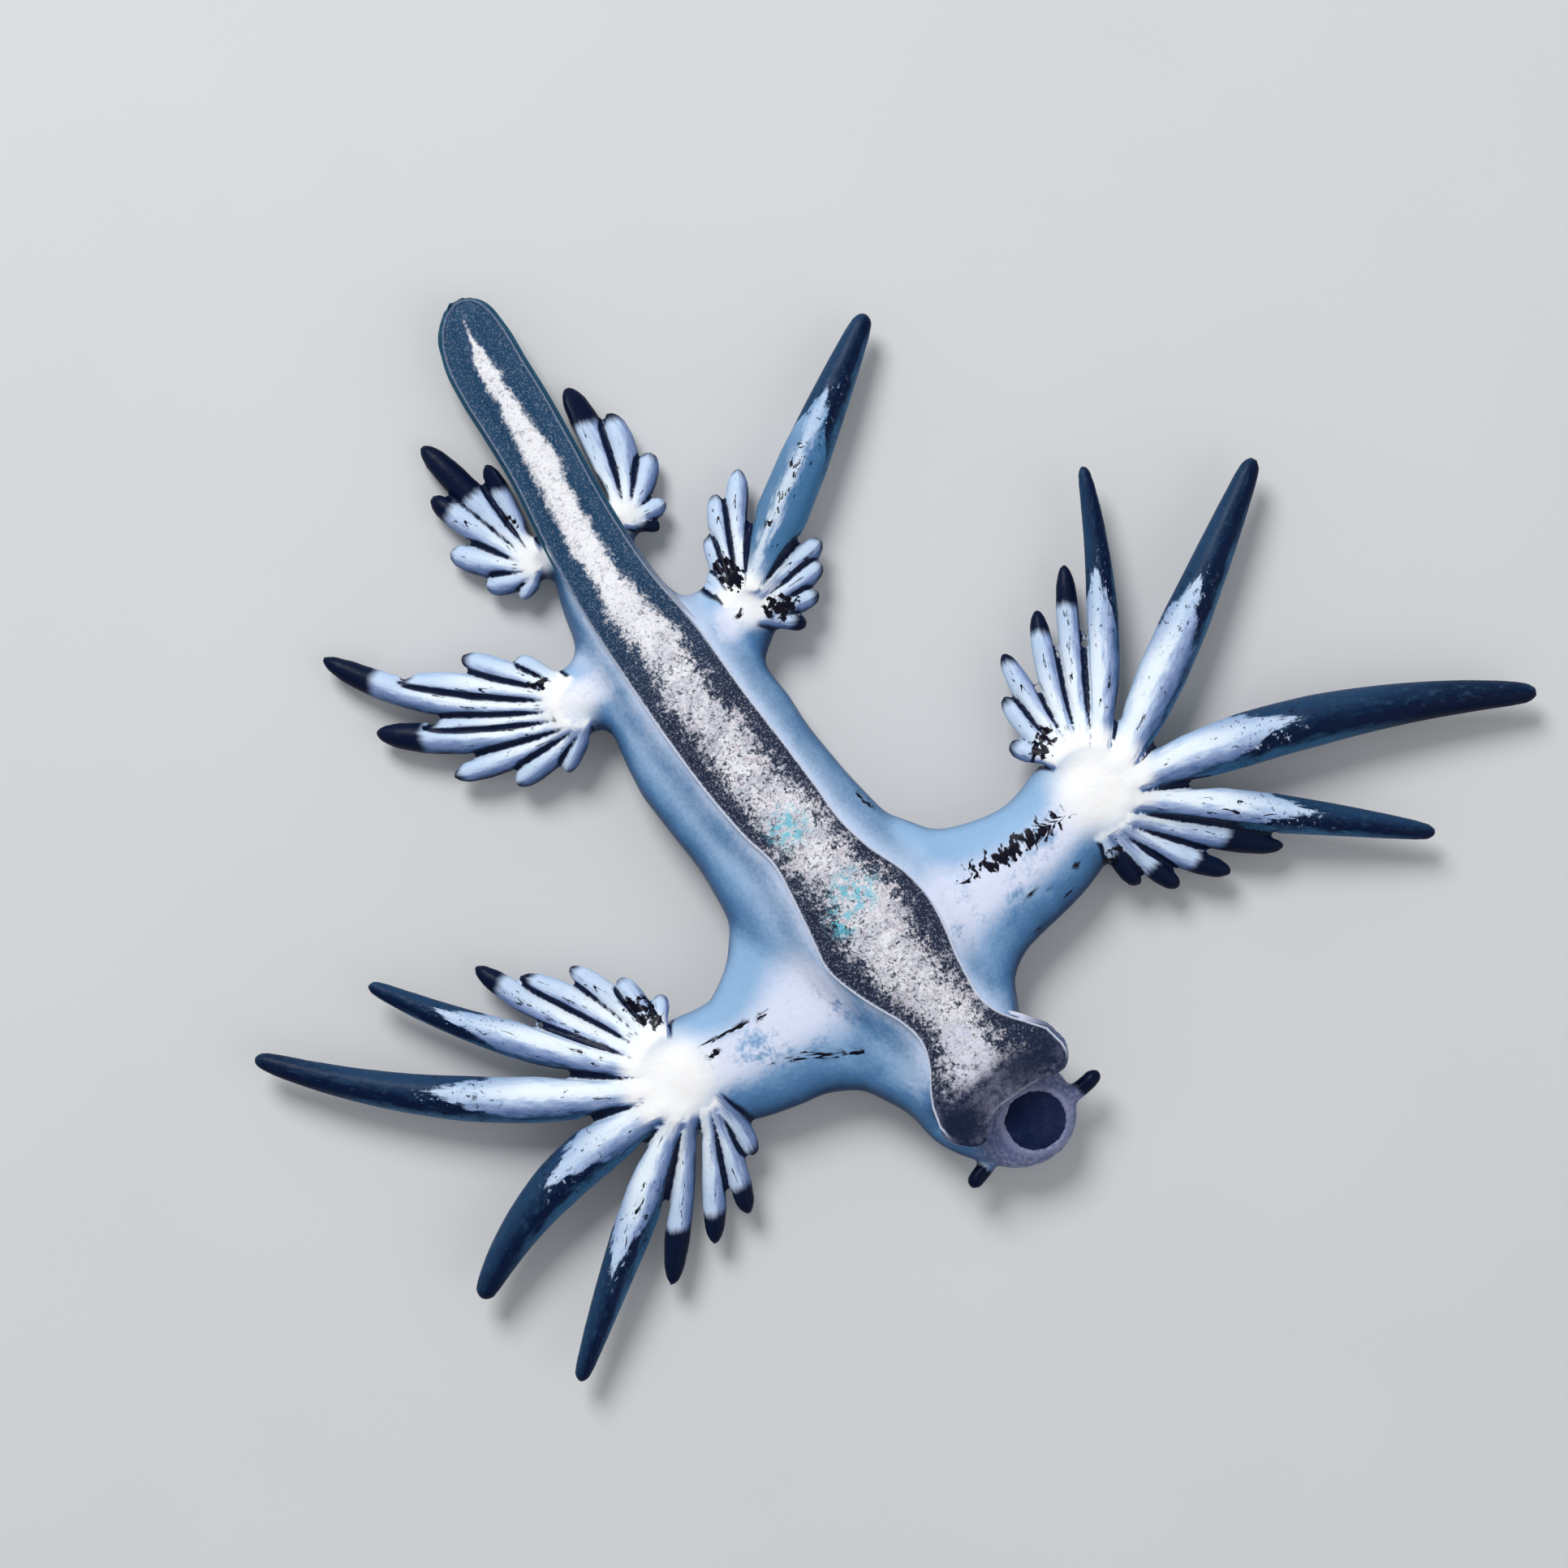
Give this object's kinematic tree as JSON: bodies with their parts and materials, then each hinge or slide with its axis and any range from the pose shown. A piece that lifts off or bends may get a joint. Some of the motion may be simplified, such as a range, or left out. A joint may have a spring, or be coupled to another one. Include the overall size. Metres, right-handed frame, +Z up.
{
  "type": "blue dragon sea slug model",
  "caption": "Life-size still model of a blue dragon sea slug on its back, foot up, arms spread, each ending in a fan of finger-like cerata.",
  "frame": {"origin": "the flat under the middle of the trunk, on which the model rests", "axes": "+Z up through the foot, -Y towards the head, +Y towards the tail, +X towards the animal's right side"},
  "size_m": [0.0489, 0.0403, 0.0045],
  "materials": {
    "body_skin": "wet periwinkle blue skin, paler along the arms",
    "fan_skin": "wet white to pale blue skin with dark grooves and tips",
    "ceras_skin": "wet deep blue skin, pale at the root and near black at the tip",
    "sole_skin": "wet mottled silver skin with a speckled navy border",
    "head_skin": "wet lavender grey skin",
    "mouth_skin": "wet near black navy skin",
    "feeler_skin": "wet blue black skin"
  },
  "bodies": {
    "root": {"head": "head_skin", "mouth_disc": "mouth_skin", "oral_tentacle_left": "feeler_skin", "oral_tentacle_right": "feeler_skin", "rhinophore_left": "feeler_skin", "rhinophore_right": "feeler_skin", "trunk_front": "body_skin", "trunk_middle": "body_skin", "trunk_rear": "body_skin", "tail_root": "body_skin", "tail": "body_skin", "foot_front": "sole_skin", "foot_middle": "sole_skin", "foot_rear": "sole_skin", "foot_tail": "sole_skin", "arm_front_left": "body_skin", "arm_front_right": "body_skin", "fan_front_left": "fan_skin", "fan_front_right": "fan_skin", "fan_middle_left": "fan_skin", "fan_middle_right": "fan_skin", "fan_rear_left": "fan_skin", "fan_rear_right": "fan_skin", "ceras_front_left_1": "ceras_skin", "ceras_front_left_2": "ceras_skin", "ceras_front_left_3": "ceras_skin", "ceras_front_left_4": "ceras_skin", "ceras_front_right_1": "ceras_skin", "ceras_front_right_2": "ceras_skin", "ceras_front_right_3": "ceras_skin", "ceras_middle_right_1": "ceras_skin"}
  },
  "joints": []
}
